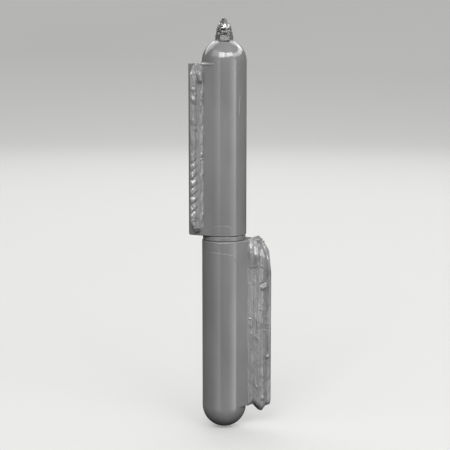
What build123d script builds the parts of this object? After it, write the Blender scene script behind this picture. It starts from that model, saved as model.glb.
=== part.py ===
"""Weld-on lift-off hinge: two leaves of drop-section bar on a fixed pin, with a thrust ring between them,
a grease nipple on top, and the weld beads that hold each leaf. Lengths are in millimetres.

The lower leaf's rear flank lies on the face that it is welded to, which is the plane y = 0. The origin is
in the middle of that flank, and +Z runs up, along the hinge axis. The leaves stand open as hung: the lower
wing points to one side and the upper wing to the other."""
from build123d import *
from math import acos, cos, pi, radians, sin, sqrt, tan
import os

os.makedirs("parts", exist_ok=True)

# Drop-section bar, the same for both leaves
BARREL_RADIUS = 10.2          # a 20 mm bar and its thick coat of paint
WING_REACH = 16.2             # hinge axis to the flat nose of the wing
FLANK_ANGLE = 30.0            # each flank against the wing's centre line, degrees
NOSE_EDGE = 0.8               # rounding along the nose's two edges
END_EDGE = 0.45               # rounding where a leaf's sawn end meets its sides

# Leaves
LEAF_LENGTH = 89.0            # a leaf before its dome is turned, end to end
SHOULDER_DROP = 0.9           # widest round of the dome down to the wing's shoulder, a hollow of that radius
CROWN_FLAT_RADIUS = 5.0       # flat on the upper dome, under the nipple
REST_SWING = 180.0            # upper wing against the lower one, degrees

# Thrust ring
RING_THICKNESS = 2.4
RING_INSET = 0.35             # ring's rim inside the barrel's
RING_EDGE = 0.6
GREASE_FILM = 0.05            # ring to upper leaf

# Pin and its bores
PIN_RADIUS = 5.5
PIN_PRESS = 0.01              # interference in the lower leaf
PIN_CLEARANCE = 0.05          # running clearance in the ring and the upper leaf, each side
PIN_SEATED = 45.0             # length held in the lower leaf
PIN_FREE = 55.0               # length that stands above the ring
PIN_CHAMFER = 1.0
BORE_SPARE = 3.0              # each bore runs this much past the pin's end
DRILL_POINT = 59.0            # half angle at the bottom of a drilled hole, degrees
MOUTH_CHAMFER = 0.6

# Grease nipple, heights above the crown flat
CHANNEL_RADIUS = 1.5          # grease way between the tapped hole and the bore
THREAD_RADIUS = 2.95
THREAD_LENGTH = 5.5
TAP_CLEARANCE = 0.05
TAP_SPARE = 1.5               # tapped hole past the thread's end
UNDERCUT_RADIUS = 2.6
UNDERCUT_HEIGHT = 0.5
HEX_ACROSS = 7.0
HEX_HEIGHT = 2.5
NECK_RADIUS = 2.25
NECK_HEIGHT = 1.5
HEAD_RADIUS = 3.2
HEAD_FLARE = 1.5              # height of the cone from the neck out to the head
HEAD_BULGE = 0.45             # how far the head's round side swells over its chord
HEAD_TOP = 9.4
LIP_RADIUS = 1.2
CHAMBER_RADIUS = 1.35
CHAMBER_FLOOR = 1.0
INLET_RADIUS = 0.8            # grease way through the thread
MOUTH_RADIUS = 0.75
MOUTH_DEPTH = 0.4

# Valve in the nipple
BALL_RADIUS = 1.2
BALL_GAP = 0.1                # ball to its conical seat
SPRING_WIRE = 0.16            # radius of the wire
SPRING_RADIUS = 0.95          # middle of the wire
SPRING_TURNS = 5
SPRING_SIDES = 12             # straight lengths that stand for one turn
SPRING_SEAT_GAP = 0.06

# Crust of old grease on the nipple: radius and height above the crown flat, from the hexagon up
CRUST_OUTLINE = [(3.75, 3.0), (3.75, 4.6), (3.45, 6.6), (2.55, 8.4), (1.6, 9.4), (0.9, 10.2)]
CRUST_TIP = 10.7

# Weld beads. Each is laid in side-by-side runs that meet in grooves
LOWER_FLANK_LEG = 6.4         # nose corner back along the front flank to the toe of the weld
LOWER_FACE_LEG = 6.5          # nose along the face behind, out to the other toe
LOWER_FLANK_GROOVE = (4.2, 1.27)     # back from the nose along the front flank, and over it
LOWER_FACE_GROOVE = (4.6, 1.78)      # out from the nose along the face behind, and over it
LOWER_CROWNS = [0.8, 1.9, 0.9]
LOWER_OVER_TOP = 1.2          # weld past the wing's sawn end
LOWER_OVER_FOOT = 3.7         # weld past the wing's shoulder
UPPER_FLANK_LEG = 3.6         # face back along the front flank to the toe of the weld
UPPER_FACE_LEG = 5.5
UPPER_GROOVES = [(-1.2, 3.7)]  # along the wing and across it, from where the face meets the flank
UPPER_CROWNS = [0.7, 1.1]
UPPER_SHORT_FOOT = 1.3        # weld stops short of the wing's sawn end
UPPER_OVER_TOP = 0.4
FACE_ANGLE = 60.0             # face behind the upper weld, against the wing's centre line, degrees
FACE_SETBACK = 3.65           # where that face meets the flank, short of the nose corner
LOWER_RIPPLES = 12
UPPER_RIPPLES = 16
RIPPLE_DEPTH = 0.2
WELD_BITE = 1.0               # toes of a section lie this far inside the leaf, before the leaf is cut away
WELD_END = 4.0                # length over which a weld rounds off
WELD_END_SHARE = 0.8          # size of its section at the very end

# Round grains of spatter on the lower weld: out from the nose along the face, over it, drop from the top, radius
SPATTER = [
    (4.75, 3.5, 21.6, 1.25),
    (4.7, 3.6, 42.9, 0.95),
    (5.6, 1.75, 55.7, 1.05),
]

# Sizes that follow
flank_rise = radians(FLANK_ANGLE)
flank_length = (WING_REACH - BARREL_RADIUS * sin(flank_rise)) / cos(flank_rise)
nose_half = BARREL_RADIUS * cos(flank_rise) - flank_length * sin(flank_rise)
wing_length = LEAF_LENGTH - BARREL_RADIUS - SHOULDER_DROP
dome_height = LEAF_LENGTH - BARREL_RADIUS
crown_height = dome_height + sqrt(BARREL_RADIUS**2 - CROWN_FLAT_RADIUS**2)

# Places that follow
axis_x = -flank_length / 2
axis_y = -BARREL_RADIUS
lower_end = wing_length / 2
upper_end = lower_end + RING_THICKNESS + GREASE_FILM
crown = upper_end + crown_height
pin_foot = lower_end - PIN_SEATED
hex_top = UNDERCUT_HEIGHT + HEX_HEIGHT
head_low = hex_top + NECK_HEIGHT + HEAD_FLARE
ball_height = HEAD_TOP - MOUTH_DEPTH + MOUTH_RADIUS - sqrt(2) * (BALL_RADIUS + BALL_GAP)


def wing_plane(turn, height):
    """Plane across the hinge axis, with x along a wing that is turned from the lower one."""
    bearing = radians(FLANK_ANGLE + turn)
    return Plane(origin=(axis_x, axis_y, height), x_dir=(cos(bearing), sin(bearing), 0), z_dir=(0, 0, 1))


def upright_plane(height, up=1, place=(axis_x, axis_y)):
    """Plane through an upright line, with y along it, up or down, and x out from it."""
    return Plane(origin=(*place, height), x_dir=(1, 0, 0), z_dir=(0, -up, 0))


def drop_section(plane):
    """Cross-section of the drawn bar: a round barrel and two flanks that run to a flat nose."""
    tangent_x = BARREL_RADIUS * sin(flank_rise)
    tangent_y = BARREL_RADIUS * cos(flank_rise)
    with BuildSketch(plane) as section:
        with BuildLine():
            ThreePointArc((tangent_x, tangent_y), (-BARREL_RADIUS, 0), (tangent_x, -tangent_y))
            Polyline(
                (tangent_x, -tangent_y),
                (WING_REACH, -nose_half),
                (WING_REACH, nose_half),
                (tangent_x, tangent_y),
            )
        make_face()
        fillet(section.vertices().sort_by(Axis.X)[-2:], NOSE_EDGE)
    return section.sketch


def turned_envelope(plane, flat_radius):
    """Half outline that the lathe leaves: the wing's shoulder, its hollow, and the dome, cut flat or whole."""
    rim = WING_REACH + nose_half
    flat_height = dome_height + sqrt(BARREL_RADIUS**2 - flat_radius**2)
    mid_rise = acos(flat_radius / BARREL_RADIUS) / 2
    hollow = SHOULDER_DROP * (1 - sin(radians(45)))
    with BuildSketch(plane) as outline:
        with BuildLine():
            Polyline((0, 0), (rim, 0), (rim, wing_length), (BARREL_RADIUS + SHOULDER_DROP, wing_length))
            ThreePointArc(
                (BARREL_RADIUS + SHOULDER_DROP, wing_length),
                (BARREL_RADIUS + hollow, wing_length + hollow),
                (BARREL_RADIUS, dome_height),
            )
            ThreePointArc(
                (BARREL_RADIUS, dome_height),
                (BARREL_RADIUS * cos(mid_rise), dome_height + BARREL_RADIUS * sin(mid_rise)),
                (flat_radius, flat_height),
            )
            if flat_radius > 0:
                Line((flat_radius, flat_height), (0, flat_height))
            Line((0, flat_height), (0, 0))
        make_face()
    return outline.sketch


def drilled_outline(plane, radius, depth):
    """Half outline of a drilled blind hole: a chamfered mouth, a straight wall and the drill's point."""
    with BuildSketch(plane) as outline:
        with BuildLine():
            Polyline(
                (0, 0),
                (radius + MOUTH_CHAMFER, 0),
                (radius, MOUTH_CHAMFER),
                (radius, depth),
                (0, depth + radius / tan(radians(DRILL_POINT))),
                close=True,
            )
        make_face()
    return outline.sketch


def weld_bead(plane, anchor, joints, crowns, roots, low, high, ripples):
    """Weld metal lofted through rippled sections, which shrink towards their anchor at both ends.

    The joints are the toes and the grooves between runs, and a crown is a run's height over its chord."""
    stations = 2 * ripples
    sections = []
    for station in range(stations + 1):
        height = low + (high - low) * station / stations
        from_end = min(1, min(height - low, high - height) / WELD_END)
        size = WELD_END_SHARE + (1 - WELD_END_SHARE) * sqrt(1 - (1 - from_end) ** 2)
        points = [anchor + (Vector(joint) - anchor) * size for joint in joints]
        with BuildSketch(plane.offset(height)) as section:
            with BuildLine():
                for run, (start, end) in enumerate(zip(points, points[1:])):
                    swell = RIPPLE_DEPTH * (-1) ** (station + run)
                    out = (end - start).rotate(Axis.Z, -90).normalized() * (crowns[run] * size + swell)
                    ThreePointArc(start, (start + end) / 2 + out, end)
                Polyline(points[-1], *roots, points[0])
            make_face()
        sections.append(section.sketch)
    return loft(sections, ruled=True)


def head_outline():
    """Neck of the nipple, the flare above it and the head's round side, from the hexagon up to the lip."""
    Polyline((NECK_RADIUS, hex_top), (NECK_RADIUS, hex_top + NECK_HEIGHT), (HEAD_RADIUS, head_low))
    SagittaArc((HEAD_RADIUS, head_low), (LIP_RADIUS, HEAD_TOP), -HEAD_BULGE)


hinge_axis = Axis((axis_x, axis_y, 0), (0, 0, 1))

# Lower leaf, bored from its upper end for the pin
with BuildPart() as lower_leaf:
    add(drop_section(wing_plane(0, lower_end)))
    extrude(amount=-LEAF_LENGTH)
    revolve(turned_envelope(upright_plane(lower_end, up=-1), 0), axis=hinge_axis, mode=Mode.INTERSECT)
    fillet(lower_leaf.faces().sort_by(Axis.Z)[-1].outer_wire().edges(), END_EDGE)
    lower_bore = drilled_outline(upright_plane(lower_end, up=-1), PIN_RADIUS - PIN_PRESS, PIN_SEATED + BORE_SPARE)
    revolve(lower_bore, axis=hinge_axis, mode=Mode.SUBTRACT)
lower_leaf.part.label = "lower_leaf"
export_step(lower_leaf.part, "parts/lower_leaf.step")

# Upper leaf, bored from its lower end, and tapped through the crown for the nipple
with BuildPart() as upper_leaf:
    add(drop_section(wing_plane(REST_SWING, upper_end)))
    extrude(amount=LEAF_LENGTH)
    revolve(turned_envelope(upright_plane(upper_end), CROWN_FLAT_RADIUS), axis=hinge_axis, mode=Mode.INTERSECT)
    fillet(upper_leaf.faces().sort_by(Axis.Z)[0].outer_wire().edges(), END_EDGE)
    upper_bore = drilled_outline(upright_plane(upper_end), PIN_RADIUS + PIN_CLEARANCE, PIN_FREE + BORE_SPARE)
    revolve(upper_bore, axis=hinge_axis, mode=Mode.SUBTRACT)
    with Locations((axis_x, axis_y, crown)):
        Hole(THREAD_RADIUS + TAP_CLEARANCE, depth=THREAD_LENGTH + TAP_SPARE)
        Hole(CHANNEL_RADIUS, depth=crown_height - PIN_FREE - BORE_SPARE)
upper_leaf.part.label = "upper_leaf"
export_step(upper_leaf.part, "parts/upper_leaf.step")

# Thrust ring between the leaves
with BuildPart() as thrust_ring:
    with BuildSketch(Plane.XY.offset(lower_end)):
        with Locations((axis_x, axis_y)):
            Circle(BARREL_RADIUS - RING_INSET)
            Circle(PIN_RADIUS + PIN_CLEARANCE, mode=Mode.SUBTRACT)
    extrude(amount=RING_THICKNESS)
    fillet(thrust_ring.edges().filter_by(GeomType.CIRCLE).sort_by(SortBy.RADIUS)[-2:], RING_EDGE)
thrust_ring.part.label = "thrust_ring"
export_step(thrust_ring.part, "parts/thrust_ring.step")

# Pin, pressed into the lower leaf
with BuildPart() as hinge_pin:
    with BuildSketch(Plane.XY.offset(pin_foot)):
        with Locations((axis_x, axis_y)):
            Circle(PIN_RADIUS)
    extrude(amount=PIN_SEATED + RING_THICKNESS + PIN_FREE)
    chamfer(hinge_pin.edges().filter_by(GeomType.CIRCLE), PIN_CHAMFER)
hinge_pin.part.label = "hinge_pin"
export_step(hinge_pin.part, "parts/hinge_pin.step")

# Grease nipple: threaded stem, hexagon, neck and coupling head, bored for its valve
with BuildPart() as nipple_body:
    with BuildSketch(upright_plane(crown)):
        with BuildLine():
            Polyline(
                (INLET_RADIUS, -THREAD_LENGTH),
                (THREAD_RADIUS - PIN_CHAMFER / 2, -THREAD_LENGTH),
                (THREAD_RADIUS, -THREAD_LENGTH + PIN_CHAMFER / 2),
                (THREAD_RADIUS, 0),
                (UNDERCUT_RADIUS, 0),
                (UNDERCUT_RADIUS, hex_top),
                (NECK_RADIUS, hex_top),
            )
            head_outline()
            Polyline(
                (LIP_RADIUS, HEAD_TOP),
                (MOUTH_RADIUS, HEAD_TOP),
                (MOUTH_RADIUS, HEAD_TOP - MOUTH_DEPTH),
                (CHAMBER_RADIUS, HEAD_TOP - MOUTH_DEPTH - CHAMBER_RADIUS + MOUTH_RADIUS),
                (CHAMBER_RADIUS, CHAMBER_FLOOR),
                (INLET_RADIUS, CHAMBER_FLOOR),
                (INLET_RADIUS, -THREAD_LENGTH),
            )
        make_face()
    revolve(axis=hinge_axis)
    with BuildSketch(wing_plane(0, crown + UNDERCUT_HEIGHT)):
        RegularPolygon(HEX_ACROSS / 2, 6, major_radius=False)
        Circle(CHAMBER_RADIUS, mode=Mode.SUBTRACT)
    extrude(amount=HEX_HEIGHT)
nipple_body.part.label = "nipple_body"
export_step(nipple_body.part, "parts/nipple_body.step")

# Valve ball under the nipple's mouth, and the spring that holds it up
with BuildPart() as nipple_ball:
    with Locations((axis_x, axis_y, crown + ball_height)):
        Sphere(BALL_RADIUS)
nipple_ball.part.label = "nipple_ball"
export_step(nipple_ball.part, "parts/nipple_ball.step")

spring_foot = crown + CHAMBER_FLOOR + SPRING_WIRE + SPRING_SEAT_GAP
ball_shelf = sqrt((BALL_RADIUS + SPRING_WIRE + SPRING_SEAT_GAP) ** 2 - SPRING_RADIUS**2)
spring_height = crown + ball_height - ball_shelf - spring_foot
with BuildPart() as nipple_spring:
    with BuildLine() as coil:
        steps = SPRING_TURNS * SPRING_SIDES
        turns = [2 * pi * step / SPRING_SIDES for step in range(steps + 1)]
        Polyline(
            *[
                (
                    axis_x + SPRING_RADIUS * cos(turn),
                    axis_y + SPRING_RADIUS * sin(turn),
                    spring_foot + spring_height * turn / turns[-1],
                )
                for turn in turns
            ]
        )
    with BuildSketch(Plane(origin=coil.line @ 0, z_dir=coil.line % 0)):
        RegularPolygon(SPRING_WIRE, 6)
    sweep(path=coil.line, transition=Transition.RIGHT)
nipple_spring.part.label = "nipple_spring"
export_step(nipple_spring.part, "parts/nipple_spring.step")

# Crust of old grease round the neck and over the head and mouth
with BuildPart() as grease_crust:
    with BuildSketch(upright_plane(crown)):
        with BuildLine():
            side = Spline(*CRUST_OUTLINE, (0, CRUST_TIP), tangents=[(0, 1), (-1, 0)])
            Polyline((0, CRUST_TIP), (0, HEAD_TOP), (LIP_RADIUS, HEAD_TOP))
            head_outline()
            Line((NECK_RADIUS, hex_top), side @ 0)
        make_face()
    revolve(axis=hinge_axis)
grease_crust.part.label = "grease_crust"
export_step(grease_crust.part, "parts/grease_crust.step")

# Lower weld: three runs over the nose, down to the face that the flank lies on
nose_corner = Vector(WING_REACH, -nose_half)
nose_heel = Vector(WING_REACH, nose_half)
back_along_flank = Vector(-cos(flank_rise), -sin(flank_rise))
over_flank = Vector(sin(flank_rise), -cos(flank_rise))
out_along_face = Vector(cos(flank_rise), -sin(flank_rise))
over_face = Vector(-sin(flank_rise), -cos(flank_rise))
flank_groove_back, flank_groove_over = LOWER_FLANK_GROOVE
face_groove_out, face_groove_over = LOWER_FACE_GROOVE
wing_core = Vector(WING_REACH - WELD_BITE, 0)
with BuildPart() as lower_weld:
    weld_bead(
        plane=wing_plane(0, 0),
        anchor=nose_heel,
        joints=[
            nose_corner + back_along_flank * LOWER_FLANK_LEG - over_flank * WELD_BITE,
            nose_corner + back_along_flank * flank_groove_back + over_flank * flank_groove_over,
            nose_heel + out_along_face * face_groove_out + over_face * face_groove_over,
            nose_heel + out_along_face * LOWER_FACE_LEG,
        ],
        crowns=LOWER_CROWNS,
        roots=[nose_heel, wing_core],
        low=lower_end - wing_length - LOWER_OVER_FOOT,
        high=lower_end + LOWER_OVER_TOP,
        ripples=LOWER_RIPPLES,
    )
    for out, over, drop, radius in SPATTER:
        grain = nose_heel + out_along_face * out + over_face * over + Vector(0, 0, lower_end - drop)
        with Locations(wing_plane(0, 0).from_local_coords(grain)):
            Sphere(radius, rotation=(90, 0, 0))
    add(lower_leaf.part, mode=Mode.SUBTRACT)
lower_weld.part.label = "lower_weld"
export_step(lower_weld.part, "parts/lower_weld.step")

# Upper weld: two runs between the front flank and the face that stands against it
nose_edge = Vector(WING_REACH, nose_half)
back_from_nose = Vector(-cos(flank_rise), sin(flank_rise))
into_front = Vector(-sin(flank_rise), -cos(flank_rise)) * WELD_BITE
meeting = nose_edge + back_from_nose * FACE_SETBACK
along_face = Vector(cos(radians(FACE_ANGLE)), sin(radians(FACE_ANGLE)))
with BuildPart() as upper_weld:
    weld_bead(
        plane=wing_plane(REST_SWING, 0),
        anchor=meeting,
        joints=[
            meeting + along_face * UPPER_FACE_LEG,
            *[meeting + Vector(groove) for groove in UPPER_GROOVES],
            meeting + back_from_nose * UPPER_FLANK_LEG + into_front,
        ],
        crowns=UPPER_CROWNS[::-1],
        roots=[meeting + into_front, meeting],
        low=upper_end + UPPER_SHORT_FOOT,
        high=upper_end + wing_length + UPPER_OVER_TOP,
        ripples=UPPER_RIPPLES,
    )
    add(upper_leaf.part, mode=Mode.SUBTRACT)
upper_weld.part.label = "upper_weld"
export_step(upper_weld.part, "parts/upper_weld.step")
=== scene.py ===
"""Looks of a weld-on hinge: the finish of its solids, its weld beads and spatter, marks in its paint, the
crust on its grease nipple, the spring of its valve, and a plain studio round it.

Lengths in the classes are in millimetres and angles in degrees. Meshes are in metres, in the row frame."""

import logging
import math
from collections.abc import Iterable
from dataclasses import dataclass
from enum import Enum

import bpy
import numpy as np
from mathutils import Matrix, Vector, noise


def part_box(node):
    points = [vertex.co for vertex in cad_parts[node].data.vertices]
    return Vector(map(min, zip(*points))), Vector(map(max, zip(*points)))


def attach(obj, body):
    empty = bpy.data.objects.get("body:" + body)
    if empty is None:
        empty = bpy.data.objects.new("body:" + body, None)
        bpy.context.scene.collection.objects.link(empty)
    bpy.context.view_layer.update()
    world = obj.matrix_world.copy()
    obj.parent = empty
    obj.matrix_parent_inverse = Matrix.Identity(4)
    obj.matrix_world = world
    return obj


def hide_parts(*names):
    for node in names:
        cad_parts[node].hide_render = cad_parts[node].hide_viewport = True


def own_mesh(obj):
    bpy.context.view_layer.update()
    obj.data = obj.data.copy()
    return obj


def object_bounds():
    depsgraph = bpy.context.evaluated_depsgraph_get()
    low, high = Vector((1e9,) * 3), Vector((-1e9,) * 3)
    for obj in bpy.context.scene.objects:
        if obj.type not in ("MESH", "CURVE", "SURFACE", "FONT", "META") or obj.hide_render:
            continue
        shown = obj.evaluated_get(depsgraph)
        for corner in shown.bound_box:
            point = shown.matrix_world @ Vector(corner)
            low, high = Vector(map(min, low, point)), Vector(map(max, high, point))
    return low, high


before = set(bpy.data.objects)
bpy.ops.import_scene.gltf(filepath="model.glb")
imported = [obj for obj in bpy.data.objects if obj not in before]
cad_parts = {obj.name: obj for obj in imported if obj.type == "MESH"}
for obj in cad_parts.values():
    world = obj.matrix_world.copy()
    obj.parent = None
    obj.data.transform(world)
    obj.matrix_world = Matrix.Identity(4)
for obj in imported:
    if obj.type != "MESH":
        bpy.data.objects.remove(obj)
cad_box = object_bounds()

MM = 0.001
Point = tuple[float, float]
Path = tuple[Point, ...]
Skin = tuple[np.ndarray, list[tuple[int, ...]]]
log = logging.getLogger("weld_on_hinge")


class Body(Enum):
    """Bodies that new pieces ride on."""

    LOWER = "lower"
    UPPER = "upper"


class Slot(Enum):
    """Names of material slots, handed along with new pieces but not applied to them."""

    PAINT = "paint"
    WELD_PAINT = "weld_paint"
    VALVE_STEEL = "valve_steel"
    GREASE = "grease"


def linear(code: str) -> tuple[float, float, float, float]:
    """Turns an sRGB hex code into a linear colour.

    Args:
        code: a colour such as "#808080".

    Returns:
        Red, green, blue and an alpha of 1.
    """
    shares = [int(code[i:i + 2], 16) / 255 for i in (1, 3, 5)]
    red, green, blue = [s / 12.92 if s <= 0.04045 else ((s + 0.055) / 1.055) ** 2.4 for s in shares]
    return red, green, blue, 1.0


def set_stops(ramp: bpy.types.ColorRamp, stops: list[Point]) -> None:
    """Fills a new ramp with greys.

    Args:
        ramp: the ramp.
        stops: places from 0 to 1 in their order, each with its brightness.
    """
    while len(ramp.elements) < len(stops):
        ramp.elements.new(0.5)
    for element, (place, grey) in zip(ramp.elements, stops):
        element.position = place
        element.color = (grey, grey, grey, 1)


def add_node(
    tree: bpy.types.NodeTree, kind: str, settings: dict | None = None, links: dict | None = None
) -> bpy.types.Node:
    """Adds one node with its settings and links.

    Args:
        tree: the node tree that gets the node.
        kind: the type's name in Blender.
        settings: values by the name of a property, by the name or number of an input, or a ramp's "stops".
        links: output sockets by the name or number of the input that they feed.

    Returns:
        The new node.
    """
    node = tree.nodes.new(kind)
    for name, value in (settings or {}).items():
        if name == "stops":
            set_stops(node.color_ramp, value)
        elif isinstance(name, str) and name in node.bl_rna.properties:
            setattr(node, name, value)
        else:
            node.inputs[name].default_value = value
    for name, socket in (links or {}).items():
        tree.links.new(socket, node.inputs[name])
    return node


def span(low: float, high: float, to_low: float = 0.0, to_high: float = 1.0) -> dict:
    """Settings that map one range onto another, held at both ends."""
    return {"From Min": low, "From Max": high, "To Min": to_low, "To Max": to_high, "clamp": True}


@dataclass(frozen=True)
class Layer:
    """Noise in a piece's own coordinates, whose lumps have a real size.

    Detail is the number of finer layers and fineness their strength, stretch how many times longer the lumps
    are along each axis, limits the values between which the noise is read, and depth how far it moves the
    surface."""

    size_mm: float
    detail: float = 3.0
    stretch: tuple[float, ...] = (1, 1, 1)
    limits: Point = (0.3, 0.7)
    depth_mm: float = 0.0
    fineness: float = 0.55

    def lumps(self, tree: bpy.types.NodeTree) -> bpy.types.NodeSocket:
        """Adds the noise.

        Args:
            tree: the material's node tree.

        Returns:
            The socket of its value, from 0 to 1.
        """
        place = add_node(tree, "ShaderNodeTexCoord").outputs["Object"]
        scale = [1 / (self.size_mm * MM * share) for share in self.stretch]
        mapped = add_node(tree, "ShaderNodeMapping", {"Scale": scale}, {"Vector": place})
        settings = {"Scale": 1.0, "Detail": self.detail, "Roughness": self.fineness}
        return add_node(tree, "ShaderNodeTexNoise", settings, {"Vector": mapped.outputs[0]}).outputs["Fac"]

    def between(self, tree: bpy.types.NodeTree, low: float, high: float) -> bpy.types.NodeSocket:
        """Adds the noise and gives the socket of its value, read from low to high."""
        settings = span(*self.limits, low, high)
        return add_node(tree, "ShaderNodeMapRange", settings, {"Value": self.lumps(tree)}).outputs["Result"]


@dataclass(frozen=True)
class Finish:
    """What all finishes share: two tones mixed by noise, gloss that varies, and bumps finer than the mesh.

    Metallic and roughness hold the values where the noise is low and high. Metallic goes with the noise of
    the tones. Two equal values stand straight on the shader. A metal keeps the default refraction of 1.5."""

    name: str
    tones: tuple[str, str]
    roughness: Point
    tone: Layer | None = None
    gloss: Layer | None = None
    second_share: float = 1.0
    metallic: Point = (0.0, 0.0)
    bumps: tuple[Layer, ...] = ()
    ior: float = 1.5
    wash: float = 0.0

    def material(self) -> bpy.types.Material:
        """Builds the material.

        Returns:
            The material, with its shader linked to its output.
        """
        made = bpy.data.materials.new(self.name)
        made.use_nodes = True
        tree = made.node_tree
        tree.nodes.clear()
        first, second = [linear(tone) for tone in self.tones]
        settings, links = {"Base Color": first, "IOR": self.ior}, {}
        if first != second:
            # Inputs 6 and 7 of a mix of colours are its two colours, and output 2 is the mix.
            tones = {"data_type": "RGBA", 6: first, 7: second}
            share = self.tone.between(tree, 0, self.second_share)
            links["Base Color"] = add_node(tree, "ShaderNodeMix", tones, {0: share}).outputs[2]
        values = (("Metallic", self.tone, self.metallic), ("Roughness", self.gloss, self.roughness))
        for name, layer, (low, high) in values:
            settings[name] = low
            if low != high:
                links[name] = layer.between(tree, low, high)
        for layer in self.bumps:
            heights = {name: socket for name, socket in links.items() if name == "Normal"}
            heights["Height"] = layer.lumps(tree)
            bump = add_node(tree, "ShaderNodeBump", {"Distance": layer.depth_mm * MM}, heights)
            links["Normal"] = bump.outputs[0]
        if self.wash > 0:
            settings |= {"Emission Color": linear("#ffffff"), "Emission Strength": self.wash}
        shader = add_node(tree, "ShaderNodeBsdfPrincipled", settings, links)
        add_node(tree, "ShaderNodeOutputMaterial", links={"Surface": shader.outputs[0]})
        return made


@dataclass(frozen=True)
class Enamel(Finish):
    """Alkyd enamel, sprayed thick over steel: mirror-like bands with soft edges over a faint orange peel."""

    tones: tuple[str, str] = ("#5d5d5d", "#656565")
    roughness: Point = (0.09, 0.17)
    tone: Layer = Layer(17.0, 4, (1, 1, 2.5), (0.35, 0.62))
    gloss: Layer = Layer(17.0 / 3)
    bumps: tuple[Layer, ...] = (Layer(1.5, 1, (1, 1, 1.6), depth_mm=0.0035),)


@dataclass(frozen=True)
class PlatedSteel(Finish):
    """Machined steel with a coat of zinc, dulled by weather: a soft metal sheen, and dark grime on it that is
    a non-metal."""

    tones: tuple[str, str] = ("#a9a9a7", "#383836")
    roughness: Point = (0.28, 0.5)
    tone: Layer = Layer(1.3, 4, limits=(0.44, 0.6))
    gloss: Layer = Layer(1.3, 4)
    metallic: Point = (1.0, 0.0)
    bumps: tuple[Layer, ...] = (Layer(0.35, depth_mm=0.03),)


@dataclass(frozen=True)
class TurnedSteel(Finish):
    """Bright steel from the lathe or the die, with a film of oil: fine rings round it catch the light."""

    tones: tuple[str, str] = ("#9b9b9b", "#5c5a55")
    roughness: Point = (0.22, 0.22)
    tone: Layer = Layer(4.0, limits=(0.45, 0.7))
    second_share: float = 0.8
    metallic: Point = (1.0, 1.0)
    bumps: tuple[Layer, ...] = (Layer(0.12, 2, (60, 60, 1), depth_mm=0.002),)


@dataclass(frozen=True)
class OldGrease(Finish):
    """Lithium grease that has dried under overspray: glossy lumps, black pits and pale flakes of paint."""

    tones: tuple[str, str] = ("#121211", "#6f6f6c")
    roughness: Point = (0.2, 0.55)
    tone: Layer = Layer(0.9, limits=(0.46, 0.6))
    gloss: Layer = Layer(0.9)
    bumps: tuple[Layer, ...] = (Layer(0.42, depth_mm=0.12),)
    ior: float = 1.48


@dataclass(frozen=True)
class SeamlessPaper(Finish):
    """Matt seamless paper, plain and pale, with a wash of light of its own that evens it out."""

    tones: tuple[str, str] = ("#868684", "#868684")
    roughness: Point = (0.9, 0.9)
    ior: float = 1.4
    wash: float = 0.28


@dataclass(frozen=True)
class WingFrame:
    """Frame of one leaf: u runs from the hinge axis along the wing, v across it, and z is the height."""

    axis_x: float
    axis_y: float
    bearing: float

    def world(self, u: np.ndarray, v: np.ndarray, z: np.ndarray) -> np.ndarray:
        """Turns points in this frame into points in the row frame.

        Args:
            u: their distances along the wing.
            v: their distances across it.
            z: their heights.

        Returns:
            Their x, y and z, along a last axis.
        """
        turn = math.radians(self.bearing)
        x = self.axis_x + u * math.cos(turn) - v * math.sin(turn)
        y = self.axis_y + u * math.sin(turn) + v * math.cos(turn)
        return np.stack([x, y, z], axis=-1)

    def along(self, points: np.ndarray) -> np.ndarray:
        """Distance along the wing of points in the row frame."""
        turn = math.radians(self.bearing)
        return (points[:, 0] - self.axis_x) * math.cos(turn) + (points[:, 1] - self.axis_y) * math.sin(turn)


@dataclass(frozen=True)
class DropBar:
    """Section of the leaves, as in the solids: a round barrel and two flanks that run to a flat nose."""

    barrel_radius: float
    wing_reach: float = 16.2
    flank_angle: float = 30.0

    @property
    def rise(self) -> float:
        """Angle between a flank and the wing, in radians."""
        return math.radians(self.flank_angle)

    @property
    def nose_half(self) -> float:
        """Half the width of the nose."""
        flank = (self.wing_reach - self.barrel_radius * math.sin(self.rise)) / math.cos(self.rise)
        return self.barrel_radius * math.cos(self.rise) - flank * math.sin(self.rise)

    def by_flank(self, side: int, back: float, over: float) -> Point:
        """Point given from a flank.

        Args:
            side: 1 for the flank on the side of v, -1 for the other.
            back: distance along the flank from the nose to the barrel.
            over: height over the flank.

        Returns:
            Its u and v.
        """
        u = self.wing_reach - back * math.cos(self.rise) + over * math.sin(self.rise)
        return u, side * (self.nose_half + back * math.sin(self.rise) + over * math.cos(self.rise))

    def by_face(self, out: float, over: float) -> Point:
        """Point given from the face that the lower leaf lies on.

        Args:
            out: distance along the face from the nose, away from the bar.
            over: height over the face.

        Returns:
            Its u and v.
        """
        across = self.nose_half - out * math.sin(self.rise) - over * math.cos(self.rise)
        return self.wing_reach + out * math.cos(self.rise) - over * math.sin(self.rise), across

    def skin_at(self, side: int, u: float) -> tuple[float, float, float]:
        """Surface of the bar at a distance along the wing.

        Args:
            side: 1 for the side of v, -1 for the other.
            u: distance from the hinge axis.

        Returns:
            Its v, and the u and v of its outward normal.
        """
        if u < self.barrel_radius * math.sin(self.rise):
            v = side * math.sqrt(self.barrel_radius**2 - u**2)
            return v, u / self.barrel_radius, v / self.barrel_radius
        v = self.nose_half + (self.wing_reach - u) * math.tan(self.rise)
        return side * v, math.sin(self.rise), side * math.cos(self.rise)


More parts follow.
